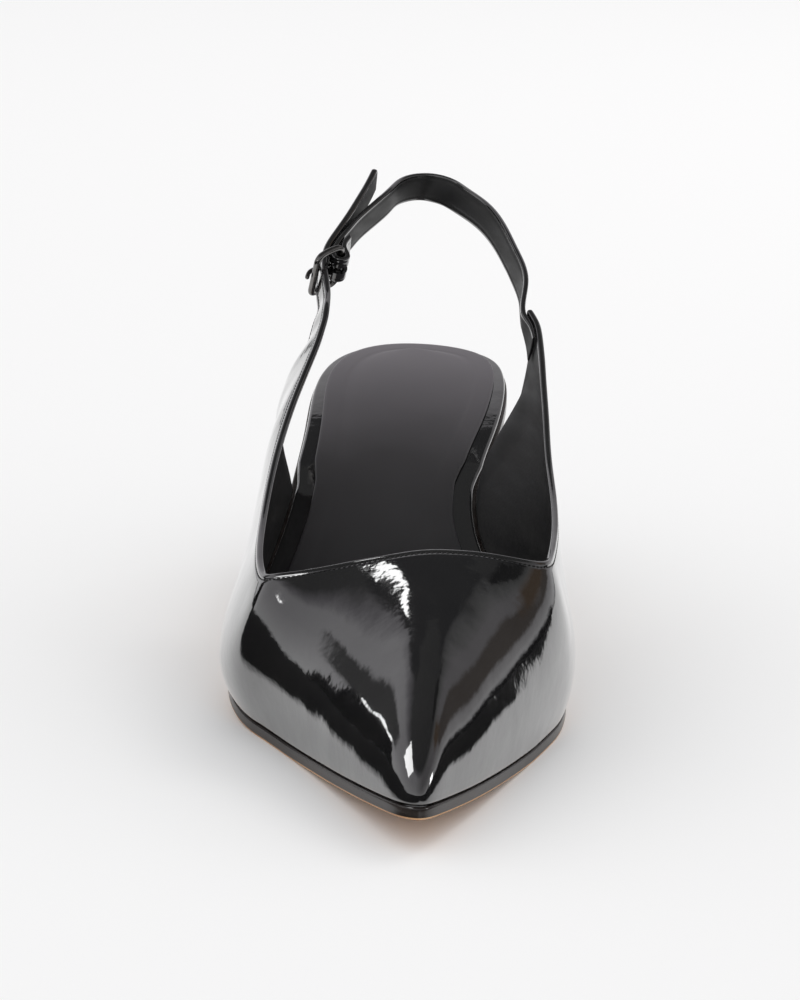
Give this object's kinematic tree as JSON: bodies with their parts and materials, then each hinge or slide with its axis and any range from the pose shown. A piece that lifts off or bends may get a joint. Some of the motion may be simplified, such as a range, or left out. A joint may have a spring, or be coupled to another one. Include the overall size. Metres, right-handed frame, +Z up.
{
  "type": "slingback pump",
  "caption": "Pointed-toe slingback pump for the right foot: hollow upper, sole with arch and toe spring, low covered heel, sling strap with a small buckle on the outer side.",
  "frame": {"origin": "the middle of the underside of the heel's top piece, on the floor", "axes": "+Z up, -Y along the shoe towards the toe, +X towards the wearer's inner side"},
  "size_m": [0.0847, 0.262, 0.1101],
  "materials": {
    "sole": "painted edge, tan underside",
    "heel_cover": "covered in black patent",
    "tip": "matte, hard",
    "insole_cover": "patent rim",
    "sock_lining": "satin",
    "upper_leather": "black patent",
    "strap_leather": "black patent",
    "buckle_metal": "dark, polished",
    "prong_metal": "dark, polished"
  },
  "bodies": {
    "root": {"outsole": "sole", "heel": "heel_cover", "top_piece": "tip", "insole": "insole_cover", "sock": "sock_lining", "upper": "upper_leather", "sling_strap": "strap_leather", "buckle_frame": "buckle_metal", "buckle_prong": "prong_metal"}
  },
  "joints": []
}
